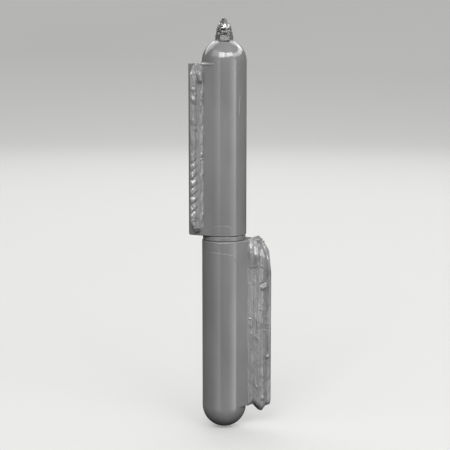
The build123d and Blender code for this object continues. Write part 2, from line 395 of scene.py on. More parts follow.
def value_noise(u: np.ndarray, z: np.ndarray, size_u: float, size_z: float, seed: int) -> np.ndarray:
    """Smooth noise over a surface, from -1 to 1.

    Args:
        u: distance along one direction.
        z: distance along the other.
        size_u: size of a lump along u.
        size_z: size of a lump along z.
        seed: picks the pattern.

    Returns:
        The noise at each point.
    """
    many_rows, many_columns = 256, 64
    cells = np.random.default_rng(seed).uniform(-1, 1, (many_rows, many_columns))
    row, column = z / size_z, u / size_u
    low_row, low_column = np.floor(row).astype(int), np.floor(column).astype(int)
    a, b = row - low_row, column - low_column
    a, b = a * a * (3 - 2 * a), b * b * (3 - 2 * b)
    r0, r1 = low_row % many_rows, (low_row + 1) % many_rows
    c0, c1 = low_column % many_columns, (low_column + 1) % many_columns
    first = cells[r0, c0] * (1 - b) + cells[r0, c1] * b
    second = cells[r1, c0] * (1 - b) + cells[r1, c1] * b
    return first * (1 - a) + second * a


def lane_noise(z: np.ndarray, lane: float, size_z: float, seed: int) -> np.ndarray:
    """Noise that changes with the height alone, read from one lane of the pattern."""
    return value_noise(np.full_like(z, lane), z, 1, size_z, seed)


def soft_step(value: np.ndarray, width: float) -> np.ndarray:
    """Rises from 0 to 1 round zero, over about four widths."""
    flat = 40
    return 1 / (1 + np.exp(-np.clip(value / width, -flat, flat)))


class Relief:
    """Anything that raises or sinks the skin of a bead."""

    def height(self, u: np.ndarray, z: np.ndarray) -> np.ndarray:
        """Height over the skin at each point."""
        raise NotImplementedError


@dataclass(frozen=True)
class Swell(Relief):
    """One raised or sunken spot: its middle, its half sizes, its height, and how far it leans as it rises."""

    u: float
    z: float
    half_u: float
    half_z: float
    rise: float
    lean: float = 0.0
    power: float = 1.5

    def height(self, u: np.ndarray, z: np.ndarray) -> np.ndarray:
        """Height of the spot.

        Args:
            u: distances along the wing.
            z: heights on the bead.

        Returns:
            The height over the skin at each point.
        """
        along = (z - self.z) / self.half_z
        across = (u - self.u - self.lean * (z - self.z)) / self.half_u
        return self.rise * np.clip(1 - along**2 - across**2, 0, None) ** self.power


@dataclass(frozen=True)
class Unevenness(Relief):
    """Noise of one size all over a bead."""

    rise: float
    size_u: float
    size_z: float
    seed: int

    def height(self, u: np.ndarray, z: np.ndarray) -> np.ndarray:
        """Height of the noise at each point."""
        return self.rise * value_noise(u, z, self.size_u, self.size_z, self.seed)


@dataclass(frozen=True)
class Strewing(Relief):
    """Small lumps strewn by chance over part of a bead, each value drawn from its own range."""

    count: int
    u: Point
    z: Point
    seed: int
    half_u: Point = (0.5, 1.2)
    half_z: Point = (0.6, 2.2)
    rise: Point = (0.08, 0.3)
    lean: Point = (-0.3, 0.3)

    def height(self, u: np.ndarray, z: np.ndarray) -> np.ndarray:
        """Height of the lumps.

        Args:
            u: distances along the wing.
            z: heights on the bead.

        Returns:
            The height over the skin at each point.
        """
        chance = np.random.default_rng(self.seed)
        ranges = (self.u, self.z, self.half_u, self.half_z, self.rise, self.lean)
        lumps = [Swell(*[chance.uniform(*limits) for limits in ranges]) for _ in range(self.count)]
        return total_height(lumps, u, z)


@dataclass(frozen=True)
class Ridges(Relief):
    """Long ridges along a bead, which sway and fade, by their place along u and their height."""

    places: Path
    half: float = 0.45
    sway: float = 0.4
    sway_mm: float = 9.0
    sway_lane: float = 1.8
    sway_seed: int = 40
    fade: Point = (0.65, 0.35)
    fade_mm: float = 5.0
    fade_lane: float = 0.6
    fade_seed: int = 60

    def height(self, u: np.ndarray, z: np.ndarray) -> np.ndarray:
        """Height of the ridges.

        Args:
            u: distances along the wing.
            z: heights on the bead.

        Returns:
            The height over the skin at each point.
        """
        total = np.zeros_like(u)
        for number, (at, rise) in enumerate(self.places):
            sway = self.sway * lane_noise(z, self.sway_lane, self.sway_mm, self.sway_seed + number)
            change = lane_noise(z, self.fade_lane, self.fade_mm, self.fade_seed + number)
            fade = self.fade[0] + self.fade[1] * change
            total = total + rise * fade * np.exp(-((u - at - sway) / self.half) ** 2)
        return total


@dataclass(frozen=True)
class Lobe(Relief):
    """Smooth tongue in which the last run ends: a lip at its lower edge, and a swell over that."""

    middle_u: float = 13.0
    edge_z: float = 26.2
    edge_bend: float = 0.15
    edge_soft: float = 0.16
    lip: float = 0.3
    swell_over: float = 3.5
    swell_soft: float = 1.1
    sides: Point = (11.2, 15.8)
    side_soft: Point = (0.42, 0.4)
    rise: float = 1.3

    def share(self, u: np.ndarray, z: np.ndarray) -> np.ndarray:
        """How far each point lies inside the lobe.

        Args:
            u: distances along the wing.
            z: heights on the bead.

        Returns:
            0 outside and 1 on its swell.
        """
        over = z - self.edge_z - self.edge_bend * (u - self.middle_u) ** 2
        swell = soft_step(over - self.swell_over, self.swell_soft)
        share = soft_step(over, self.edge_soft) * (self.lip + (1 - self.lip) * swell)
        left, right = self.sides
        return share * soft_step(u - left, self.side_soft[0]) * soft_step(right - u, self.side_soft[1])

    def height(self, u: np.ndarray, z: np.ndarray) -> np.ndarray:
        """Height of the lobe at each point."""
        return self.rise * self.share(u, z)


@dataclass(frozen=True)
class Ripples(Relief):
    """Diagonal scales that a weaving torch leaves, on one stretch of a bead's outer run."""

    pitch: float = 3.8
    rise: float = 0.6
    lean: float = 0.75
    level_u: float = 14.0
    skew: float = 0.7
    sharpness: float = 1.2
    sunk: float = 0.6
    bottom: float = 51.0
    bottom_soft: float = 0.5
    top: float = 77.0
    top_soft: float = 0.8
    inner_u: float = 12.0
    inner_soft: float = 0.25

    def height(self, u: np.ndarray, z: np.ndarray) -> np.ndarray:
        """Height of the scales.

        Args:
            u: distances along the wing.
            z: heights on the bead.

        Returns:
            The height over the skin at each point.
        """
        phase = (z + self.lean * (u - self.level_u)) / self.pitch
        wave = np.sin(math.pi * (phase - np.floor(phase)) ** self.skew) ** self.sharpness - self.sunk
        band = soft_step(z - self.bottom, self.bottom_soft) * soft_step(self.top - z, self.top_soft)
        return self.rise * wave * band * soft_step(u - self.inner_u, self.inner_soft)


def total_height(reliefs: Iterable[Relief], u: np.ndarray, z: np.ndarray) -> np.ndarray:
    """Sum of the heights of several reliefs at each point."""
    return sum((relief.height(u, z) for relief in reliefs), np.zeros_like(u))


def mesh_object(name: str, skin: Skin, finish: bpy.types.Material) -> bpy.types.Object:
    """Makes a smooth-shaded object from points in millimetres.

    Args:
        name: the object's name.
        skin: its vertices in the row frame, and its faces.
        finish: its material.

    Returns:
        The object, linked to the scene.
    """
    points, faces = skin
    mesh = bpy.data.meshes.new(name)
    mesh.from_pydata((points * MM).tolist(), [], faces)
    mesh.validate()
    mesh.polygons.foreach_set("use_smooth", [True] * len(mesh.polygons))
    mesh.materials.append(finish)
    mesh.update()
    made = bpy.data.objects.new(name, mesh)
    bpy.context.scene.collection.objects.link(made)
    return made


def settle(made: bpy.types.Object, body: Body, slot: Slot, *stands_for: str) -> None:
    """Puts a piece on its body and hides the solids that it replaces.

    Args:
        made: the piece.
        body: what it rides on.
        slot: not used.
        stands_for: the solids that it replaces.
    """
    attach(made, body.value)
    if stands_for:
        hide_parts(*stands_for)


def tube_faces(rows: int, columns: int) -> list[tuple[int, ...]]:
    """Quads of a tube whose rows are closed loops, with no caps.

    Args:
        rows: number of loops.
        columns: number of points in a loop.

    Returns:
        The faces, as vertex numbers.
    """
    faces = []
    for row in range(rows - 1):
        start, above = row * columns, (row + 1) * columns
        for column in range(columns):
            right = (column + 1) % columns
            faces.append((start + column, start + right, above + right, above + column))
    return faces


def closed_tube(loops: np.ndarray) -> Skin:
    """Skins a tube through closed loops and caps both ends.

    Args:
        loops: their points, as loops by points by three.

    Returns:
        The points in one list, and the faces.
    """
    rows, columns = loops.shape[:2]
    first = tuple(range(columns))
    faces = tube_faces(rows, columns)
    faces += [first[::-1], tuple(number + (rows - 1) * columns for number in first)]
    return loops.reshape(-1, 3), faces


def outward(points: np.ndarray) -> np.ndarray:
    """Unit normals of a grid of points, from its own rows and columns.

    Args:
        points: the grid, as rows by columns by three.

    Returns:
        The normals, in the same form.
    """
    normal = np.cross(np.gradient(points, axis=1), np.gradient(points, axis=0))
    tiny = 1e-9
    return normal / np.maximum(np.linalg.norm(normal, axis=-1, keepdims=True), tiny)


def fit_in(points: np.ndarray, node: str, spare: float = 0.0) -> np.ndarray:
    """Keeps points in the box of the solid that they stand for, and in the whole model's box.

    Args:
        points: the points, in the row frame.
        node: the solid's name.
        spare: how far they may stand out sideways from the solid's own box.

    Returns:
        The points, moved in where they stood out.
    """
    low, high = [np.array(corner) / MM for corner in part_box(node)]
    whole_low, whole_high = [np.array(corner) / MM for corner in cad_box]
    room = np.array([spare, spare, 0.0])
    return np.clip(points, np.maximum(low - room, whole_low), np.minimum(high + room, whole_high))


@dataclass(frozen=True)
class Weld:
    """What both welds share: a painted bead in its leaf's frame.

    Its section is a chain of crowned runs between joints. Towards its ends each joint sinks to its own root,
    on or inside what the bead lies on. Joints, roots and back hold u and v, top and bottom hold u and z."""

    solid: str
    body: Body
    crowns: tuple[float, ...]
    top: Path
    bottom: Path
    top_round: tuple[float, ...]
    top_power: float
    bottom_round: float
    bottom_power: float
    toe_spare: float
    unevenness: tuple[Unevenness, ...]
    lumps: tuple[Relief, ...]
    paint: Enamel
    wander: float = 0.3
    wander_mm: float = 6.0
    wander_way: Point = (1.0, 0.6)
    wander_lane: float = 1.4
    columns: int = 80
    rows: int = 430
    end_rows: int = 60
    end_share: float = 0.07
    edge_share: float = 0.04
    softening: int = 3

    def joints(self, bar: DropBar) -> Path:
        """Joints of the section, in its order round the bead."""
        raise NotImplementedError

    def roots(self, bar: DropBar) -> Path:
        """Roots, one for each joint."""
        raise NotImplementedError

    def back(self, bar: DropBar) -> Path:
        """Points behind the bead, hidden in what it lies on."""
        raise NotImplementedError

    def relief(self, u: np.ndarray, z: np.ndarray) -> np.ndarray:
        """Height over the runs at each point."""
        raise NotImplementedError

    def heights(self) -> np.ndarray:
        """Places of the rows, closer together where the ends are round.

        Returns:
            The places, from 0 at the bottom to 1 at the top.
        """
        crowded = self.end_share * np.linspace(0, 1, self.end_rows) ** 2
        even = np.linspace(self.end_share, 1 - self.end_share, self.rows)[1:-1]
        return np.concatenate([crowded, even, 1 - crowded[::-1]])

    @staticmethod
    def marks(joints: Path) -> np.ndarray:
        """Places of the joints along the section, from 0 to 1."""
        lengths = np.linalg.norm(np.diff(np.array(joints), axis=0), axis=1)
        return np.append(0, np.cumsum(lengths)) / lengths.sum()

    def section(self, joints: Path, z: np.ndarray, place: np.ndarray) -> np.ndarray:
        """Points of the section at each row and column.

        Args:
            joints: the joints.
            z: height of each row.
            place: place of each column along the section, from 0 to 1.

        Returns:
            An array of rows by columns by two, with u and v.
        """
        marks = self.marks(joints)
        run = np.minimum(np.searchsorted(marks, place, side="right") - 1, len(marks) - 2)
        share = ((place - marks[run]) / (marks[run + 1] - marks[run]))[None, :, None]
        moved = np.repeat(np.array(joints)[None], len(z), axis=0)
        for number in range(1, len(joints) - 1):
            sway = self.wander * lane_noise(z, self.wander_lane * number, self.wander_mm, number)
            moved[:, number] += np.outer(sway, self.wander_way)
        chord = moved[:, run + 1] - moved[:, run]
        length = np.linalg.norm(chord, axis=-1, keepdims=True)
        side = np.stack([chord[..., 1], -chord[..., 0]], axis=-1) / length
        crown = np.array(self.crowns)[run][None, :, None]
        points = moved[:, run] + chord * share + side * (4 * crown * share * (1 - share))
        for _ in range(self.softening):
            points[:, 1:-1] = (points[:, :-2] + 2 * points[:, 1:-1] + points[:, 2:]) / 4
        return points

    @staticmethod
    def rounding(gap: np.ndarray, reach: float | np.ndarray, power: float) -> np.ndarray:
        """Share of its full size that the section has near an end.

        Args:
            gap: distance from the end.
            reach: distance over which the end is rounded.
            power: 1 for a straight slope, 2 for a round end, more for a blunt one.

        Returns:
            The share, from 0 at the end to 1.
        """
        left = np.clip(1 - gap / reach, 0, 1)
        return (1 - left**power) ** (1 / power)

    def bead(self, wing: WingFrame, bar: DropBar, coat: bpy.types.Material) -> np.ndarray:
        """Makes the bead in place of its solid.

        Args:
            wing: the leaf's frame.
            bar: the leaf's section.
            coat: the bead's paint.

        Returns:
            Its points in the row frame, as rows by columns by three. The last columns are hidden.
        """
        joints = self.joints(bar)
        place = np.linspace(0, 1, self.columns)
        share = self.heights()[:, None]
        mean_low, mean_high = [np.mean([z for _, z in end]) for end in (self.bottom, self.top)]
        points = self.section(joints, mean_low + (mean_high - mean_low) * share[:, 0], place)
        u = points[..., 0]
        low, high = [np.interp(u, *zip(*sorted(end))) for end in (self.bottom, self.top)]
        z = low + (high - low) * share
        marks = self.marks(joints)
        top_reach = np.interp(place, marks, self.top_round)
        full = self.rounding(z - low, self.bottom_round, self.bottom_power)
        full = full * self.rounding(high - z, top_reach, self.top_power)
        root = np.stack([np.interp(place, marks, side) for side in zip(*self.roots(bar))], axis=-1)
        sunk = root[None] + full[..., None] * (points - root[None])
        world = wing.world(sunk[..., 0], sunk[..., 1], z)
        centre = wing.world(root[:, 0], root[:, 1], np.zeros(len(root)))[None]
        normal = outward(world)
        if np.sum(normal[..., :2] * (world - centre)[..., :2]) < 0:
            normal = -normal
        edge = np.clip(np.minimum(place, 1 - place) / self.edge_share, 0, 1)[None]
        loops = [*np.moveaxis(world + normal * (self.relief(u, z) * edge * full)[..., None], 1, 0)]
        for back_u, back_v in self.back(bar):
            level = z[:, np.argmin(np.abs(u.mean(axis=0) - back_u))]
            loops.append(wing.world(np.full(len(z), back_u), np.full(len(z), back_v), level))
        points, faces = closed_tube(np.stack(loops, axis=1))
        points = fit_in(points, self.solid, self.toe_spare)
        made = mesh_object(f"{self.solid}_beads", (points, faces), coat)
        settle(made, self.body, Slot.WELD_PAINT, self.solid)
        return points.reshape(len(z), len(loops), 3)


@dataclass(frozen=True)
class LowerWeld(Weld):
    """Wide bead in three runs over the lower wing's nose, drawn in long strokes, with spatter stuck to it.

    Points by the flank hold the distance back from the nose and the height over the flank. Points by the face
    hold the distance out from the nose and the height over the face."""

    solid: str = "lower_weld"
    body: Body = Body.LOWER
    flank_joints: Path = ((6.9, -0.05), (6.0, 0.3), (4.2, 0.95))
    face_joints: Path = ((4.6, 1.78), (6.5, 0.0))
    flank_roots: Path = ((6.6, -0.3), (5.7, -0.3), (3.3, -0.4))
    face_roots: Path = ((1.4, 0.0), (5.3, 0.0))
    flank_back: Point = (3.5, -1.5)
    crowns: tuple[float, ...] = (-0.12, 0.3, 1.9, 0.7)
    top_round: tuple[float, ...] = (5.6, 6.0, 7.4, 10.0, 10.5)
    top_power: float = 1.02
    bottom_round: float = 3.5
    bottom_power: float = 2.3
    toe_spare: float = 0.8
    top: Path = (
        (10.3, 39.4), (12.0, 39.9), (17.4, 40.0), (19.3, 38.9),
        (20.1, 37.8), (20.8, 36.2), (21.55, 34.3), (21.83, 33.2),
    )
    bottom: Path = (
        (10.1, -39.2), (10.8, -39.3), (12.3, -38.5), (13.0, -37.8), (14.5, -39.2),
        (16.8, -41.6), (18.2, -43.0), (19.0, -42.4), (19.8, -41.0), (21.8, -40.4),
    )
    unevenness: tuple[Unevenness, ...] = (
        Unevenness(0.24, 0.9, 15, 3),
        Unevenness(0.14, 0.5, 7, 4),
        Unevenness(0.16, 1.2, 3.0, 5),
        Unevenness(0.08, 0.6, 1.2, 6),
    )
    ridges: Ridges = Ridges(
        ((10.7, 0.3), (12.4, 0.2), (13.8, 0.28), (15.4, 0.42), (17.7, 0.34), (19.3, 0.34), (20.8, 0.25))
    )
    lobe: Lobe = Lobe()
    lobe_calm: float = 0.75
    lumps: tuple[Relief, ...] = (
        Swell(12.0, 35.8, 1.3, 1.8, 0.25),
        Swell(14.0, 36.2, 1.2, 2.0, 0.3, 0.2),
        Swell(14.7, 32.4, 1.9, 6.4, 0.35, -0.1),
        Swell(16.6, 35.8, 1.4, 2.0, 0.6),
        Swell(17.4, 32.0, 1.5, 4.4, 0.35, 0.1),
        Swell(19.3, 33.0, 1.5, 3.0, 0.8, -0.2),
        Swell(20.6, 29.8, 1.3, 3.2, 0.5),
        Swell(19.6, 28.5, 2.6, 7.5, 0.9),
        Swell(18.2, 17.2, 1.9, 1.9, 1.1, 0.4),
        Swell(17.0, 18.4, 1.1, 1.2, -0.5),
        Swell(17.5, -35.8, 1.1, 1.3, 0.5),
        Swell(15.4, 22.0, 0.5, 3.6, 0.3),
        Swell(20.3, 24.0, 1.0, 3.0, 0.35),
        Swell(14.0, 10.0, 0.9, 4.5, 0.25),
        Swell(17.0, 1.0, 1.0, 3.0, 0.22),
        Swell(12.0, -6.0, 0.8, 4.0, 0.22),
        Swell(16.2, -17.0, 1.2, 4.0, 0.28),
        Swell(19.9, -24.0, 0.9, 3.2, 0.25),
        Swell(13.6, -27.0, 0.9, 3.0, 0.25),
        Strewing(24, (11, 21.5), (-39, 30), 11),
    )
    grains: tuple[tuple[float, float, float], ...] = (
        (17.1, 26.9, 0.62), (18.6, 17.3, 0.6), (16.7, 6.6, 0.6), (18.5, -3.7, 0.55), (20.1, -16.6, 1.15),
        (19.9, 38.4, 0.42), (18.3, 39.2, 0.4), (14.9, 12.2, 0.3), (12.2, -12.0, 0.34), (19.0, -30.5, 0.36),
    )
    grain_rings: int = 10
    grain_around: int = 18
    grain_margin: int = 4
    # The leaves' enamel painted lighter on this bead and its spatter: painted light standing in for the light
    # that falls on the weld.
    paint: Enamel = Enamel(
        "weld_enamel_painted_lighter",
        ("#626262", "#707070"),
        (0.12, 0.22),
        bumps=(Layer(1.1, 1, (1, 1, 1.6), depth_mm=0.006), Layer(0.45, depth_mm=0.002)),
    )

    @staticmethod
    def chain(bar: DropBar, by_flank: Path, by_face: Path) -> Path:
        """Points by the front flank, then points by the face behind it, as u and v."""
        return *[bar.by_flank(-1, *spot) for spot in by_flank], *[bar.by_face(*spot) for spot in by_face]

    def joints(self, bar: DropBar) -> Path:
        """Joints from the front flank over the nose to the face behind it."""
        return self.chain(bar, self.flank_joints, self.face_joints)

    def roots(self, bar: DropBar) -> Path:
        """Roots, one for each joint."""
        return self.chain(bar, self.flank_roots, self.face_roots)

    def back(self, bar: DropBar) -> Path:
        """The nose's corner at the face, and a point inside the wing."""
        return bar.by_face(0, 0), bar.by_flank(-1, *self.flank_back)

    def relief(self, u: np.ndarray, z: np.ndarray) -> np.ndarray:
        """Height of streaks, ridges, lumps and the smooth lobe.

        Args:
            u: distances along the wing.
            z: heights on the bead.

        Returns:
            The height over the runs at each point.
        """
        calm = 1 - self.lobe_calm * np.clip(self.lobe.share(u, z), 0, 1)
        rough = total_height((*self.unevenness, self.ridges), u, z)
        return calm * rough + self.lobe.height(u, z) + total_height(self.lumps, u, z)

    def spatter(self, wing: WingFrame, bead: np.ndarray) -> Skin:
        """Sets round grains half into the bead's skin.

        Args:
            wing: the leaf's frame.
            bead: points of the bead, away from its edges.

        Returns:
            The points and faces of all grains.
        """
        fall = np.linspace(0, math.pi, self.grain_rings + 1)[:, None]
        spin = np.linspace(0, 2 * math.pi, self.grain_around, endpoint=False)[None]
        ball = np.stack([
            np.sin(fall) * np.cos(spin),
            np.sin(fall) * np.sin(spin),
            np.cos(fall) * np.ones_like(spin),
        ], axis=-1).reshape(-1, 3)
        quads = tube_faces(self.grain_rings + 1, self.grain_around)
        along = wing.along(bead)
        points, faces = [], []
        for number, (u, z, radius) in enumerate(self.grains):
            near = np.argmin((along - u) ** 2 + (bead[:, 2] - z) ** 2)
            points.append(bead[near] + radius * ball)
            faces += [tuple(number * len(ball) + corner for corner in quad[::-1]) for quad in quads]
        return np.concatenate(points), faces

    def build(self, wing: WingFrame, bar: DropBar) -> None:
        """Makes the bead and its spatter.

        Args:
            wing: the leaf's frame.
            bar: the leaf's section.
        """
        coat = self.paint.material()
        rows = self.bead(wing, bar, coat)
        inner = rows[:, self.grain_margin:self.columns - self.grain_margin].reshape(-1, 3)
        points, faces = self.spatter(wing, inner)
        points = fit_in(points, self.solid, self.toe_spare)
        settle(mesh_object("lower_spatter", (points, faces), coat), self.body, Slot.WELD_PAINT)
        log.info("lower weld with %d grains of spatter", len(self.grains))


@dataclass(frozen=True)
class UpperWeld(Weld):
    """Narrow bead in two runs between the upper wing's flank and the gate's face, with diagonal ripples.

    Flank and face meet at face_setback from the nose. Joints by the meeting hold u and v from there, points
    by the flank the distance back from there and the height, and roots by the face the distance up it."""

    solid: str = "upper_weld"
    body: Body = Body.UPPER
    face_setback: float = 3.65
    face_angle: float = 60.0
    face_leg: float = 5.5
    meeting_joints: Path = ((0.1, 4.1), (-0.35, 3.15), (-1.75, 3.1))
    flank_toe: Point = (3.8, -0.05)
    face_roots: tuple[float, ...] = (1.3, 0.3)
    flank_roots: Path = ((0.9, -0.4), (2.2, -0.4), (3.5, -0.4))
    flank_back: Point = (1.5, -0.8)
    crowns: tuple[float, ...] = (0.5, -0.1, -0.05, -0.12)
    top: Path = ((9.6, 118.2), (11.0, 119.3), (14.2, 119.3), (15.8, 118.6))
    bottom: Path = ((9.6, 43.9), (11.5, 42.8), (14.0, 42.7), (15.8, 44.5))
    top_round: tuple[float, ...] = (4.0, 5.0, 5.0, 5.0, 4.0)
    top_power: float = 1.5
    bottom_round: float = 5.0
    bottom_power: float = 1.8
    wander: float = 0.22
    toe_spare: float = 0.4
    groove_u: float = 12.1
    groove_half: float = 0.8
    groove_calm: float = 0.75
    unevenness: tuple[Unevenness, ...] = (Unevenness(0.18, 1.2, 2.6, 21), Unevenness(0.09, 0.6, 0.9, 22))
    ripples: Ripples = Ripples()
    lumps: tuple[Relief, ...] = (
        Swell(11.5, 113.8, 1.8, 4.2, 1.3),
        Swell(12.2, 116.6, 1.2, 1.6, 0.5),
        Swell(11.2, 112.0, 1.2, 1.4, 0.4),
        Swell(12.2, 119.2, 0.5, 0.9, 0.5),
        Swell(14.3, 107.9, 1.5, 1.3, 0.5, 0.2),
        Swell(14.2, 103.1, 1.5, 2.1, 0.55, 0.2),
        Swell(14.3, 94.0, 1.6, 2.7, 0.55, 0.15),
        Swell(14.2, 84.9, 1.6, 4.6, 0.5, 0.1),
        Swell(10.6, 104.0, 0.9, 4.4, 0.4),
        Swell(10.5, 94.2, 0.9, 3.0, 0.4),
        Swell(10.5, 85.0, 0.9, 4.0, 0.4),
        Swell(10.6, 78.5, 0.9, 1.2, 0.35),
        Swell(10.5, 69.2, 0.9, 3.5, 0.35),
        Swell(10.4, 58.8, 0.9, 3.4, 0.35),
        Swell(10.6, 50.4, 0.9, 3.4, 0.35),
        Swell(13.0, 48.2, 2.0, 2.4, -0.45),
        Swell(12.6, 45.2, 2.6, 0.6, 0.35),
        Strewing(16, (13.2, 15.6), (46, 117), 31),
        Strewing(12, (9.8, 11.0), (46, 117), 33),
    )
    # The leaves' enamel painted lighter on this bead: painted light standing in for the light that falls on
    # the weld.
    paint: Enamel = Enamel(
        "rippled_weld_enamel_painted_lighter",
        ("#626262", "#6f6f6f"),
        (0.12, 0.22),
        bumps=(Layer(1.0, 1, (1, 1, 1.6), depth_mm=0.006), Layer(0.45, depth_mm=0.002)),
    )

    def by_flank(self, bar: DropBar, back: float, over: float) -> Point:
        """Point given from the meeting along the flank."""
        return bar.by_flank(1, self.face_setback + back, over)

    def by_meeting(self, bar: DropBar, u: float, v: float) -> Point:
        """Point given by its u and v from the meeting."""
        meeting_u, meeting_v = self.by_flank(bar, 0, 0)
        return meeting_u + u, meeting_v + v

    def up_face(self, bar: DropBar, leg: float) -> Point:
        """Point given by its distance up the gate's face."""
        turn = math.radians(self.face_angle)
        return self.by_meeting(bar, leg * math.cos(turn), leg * math.sin(turn))

    def joints(self, bar: DropBar) -> Path:
        """Joints from the gate's face to the front flank."""
        middle = [self.by_meeting(bar, *joint) for joint in self.meeting_joints]
        return self.up_face(bar, self.face_leg), *middle, self.by_flank(bar, *self.flank_toe)

    def roots(self, bar: DropBar) -> Path:
        """Roots, one for each joint."""
        by_face = [self.up_face(bar, leg) for leg in self.face_roots]
        return *by_face, *[self.by_flank(bar, *root) for root in self.flank_roots]

    def back(self, bar: DropBar) -> Path:
        """A point inside the wing, and the meeting."""
        return self.by_flank(bar, *self.flank_back), self.by_flank(bar, 0, 0)

    def relief(self, u: np.ndarray, z: np.ndarray) -> np.ndarray:
        """Height of ripples and lumps, calmer in the groove between the runs.

        Args:
            u: distances along the wing.
            z: heights on the bead.

        Returns:
            The height over the runs at each point.
        """
        calm = 1 - self.groove_calm * np.exp(-((u - self.groove_u) / self.groove_half) ** 2)
        rough = total_height((*self.unevenness, self.ripples), u, z)
        return calm * rough + total_height(self.lumps, u, z)

    def build(self, wing: WingFrame, bar: DropBar) -> None:
        """Makes the bead.

        Args:
            wing: the leaf's frame.
            bar: the leaf's section.
        """
        self.bead(wing, bar, self.paint.material())
        log.info("upper weld with ripples %.1f mm apart", self.ripples.pitch)


@dataclass(frozen=True)
class PaintMark:
    """One raised line or nib in a leaf's paint: a path of u and z, its width and its height."""

    name: str
    path: Path
    width: float
    height: float
    steps: int = 60
    across: int = 9
    sunk: float = 0.08
    tip: float = 0.02
    bluntness: int = 8
    smoothing: float = 0.25

    def ribbon(self, wing: WingFrame, bar: DropBar, side: int) -> Skin:
        """Makes the line as a closed half-round ribbon on the bar's surface.

        Args:
            wing: the leaf's frame.
            bar: the leaf's section.
            side: 1 for the side of v, -1 for the other.

        Returns:
            Its points in the row frame and its faces.
        """
        marks = np.linspace(0, 1, len(self.path))
        share = np.linspace(0, 1, self.steps)
        u, z = [np.interp(share, marks, values) for values in zip(*self.path)]
        for _ in range(round(self.steps * self.smoothing)):
            u[1:-1] = (u[:-2] + u[2:]) / 2
            z[1:-1] = (z[:-2] + z[2:]) / 2
        spots = np.array([bar.skin_at(side, value) for value in u])
        base = wing.world(u, spots[:, 0], z)
        normal = wing.world(u + spots[:, 1], spots[:, 0] + spots[:, 2], z) - base
        sideways = np.cross(normal, np.gradient(base, axis=0))
        sideways /= np.linalg.norm(sideways, axis=1, keepdims=True)
        taper = np.sqrt(1 - (2 * share - 1) ** self.bluntness)[:, None, None] + self.tip
        turn = np.linspace(0, math.pi, self.across)[None, :, None]
        out, wide = normal[:, None], sideways[:, None] * self.width / 2 * taper
        over = base[:, None] + wide * np.cos(turn) + out * np.sin(turn) * self.height * taper
        under = base[:, None] - out * self.sunk + wide * np.array([[[-1], [1]]])
        return closed_tube(np.concatenate([over, under], axis=1))


@dataclass(frozen=True)
class PaintMarks:
    """Lines and nibs that masking, dust and one run left in the paint of the leaves, in a lighter coat that
    is a painted highlight.
    """

    # The marks are real raised paint; their lighter tone of the same enamel is a painted highlight.
    coat: Enamel = Enamel("marks_enamel_painted_highlight", ("#666666", "#707070"), (0.08, 0.14))
    lower: tuple[PaintMark, ...] = (
        PaintMark(
            "lower_masking_line",
            ((-8.9, 33.8), (-6.4, 34.0), (-3.6, 33.8), (0, 33.3), (2.9, 32.7), (5.0, 32.1)),
            0.45,
            0.06,
        ),
        PaintMark("lower_paint_nib", ((4.6, 31.0), (4.7, 30.4)), 0.5, 0.2, 20),
    )
    upper: tuple[PaintMark, ...] = (
        PaintMark(
            "upper_masking_line",
            ((7.1, 44.9), (5.2, 45.6), (3.3, 46.3), (0.5, 46.5), (-1.5, 46.0), (-3.1, 45.1)),
            0.45,
            0.06,
        ),
        PaintMark("paint_run", ((-6.8, 105.3), (-6.5, 100.5), (-6.2, 95.7)), 0.6, 0.16),
        PaintMark("upper_paint_nib", ((-6.5, 117.4), (-6.5, 116.9)), 0.6, 0.2, 20),
        PaintMark(
            "shoulder_paint_edge",
            ((12.2, 119.0), (9.0, 119.0), (6.6, 119.0), (5.2, 119.2)),
            0.9,
            0.22,
        ),
    )

    def build(self, bar: DropBar, lower_wing: WingFrame, upper_wing: WingFrame) -> None:
        """Makes all marks.

        Args:
            bar: the section of both leaves.
            lower_wing: the lower leaf's frame.
            upper_wing: the upper leaf's frame.
        """
        finish = self.coat.material()
        leaves = ((self.lower, lower_wing, -1, Body.LOWER), (self.upper, upper_wing, 1, Body.UPPER))
        for marks, wing, side, body in leaves:
            for mark in marks:
                settle(mesh_object(mark.name, mark.ribbon(wing, bar, side), finish), body, Slot.PAINT)
        log.info("%d marks in the paint", len(self.lower) + len(self.upper))


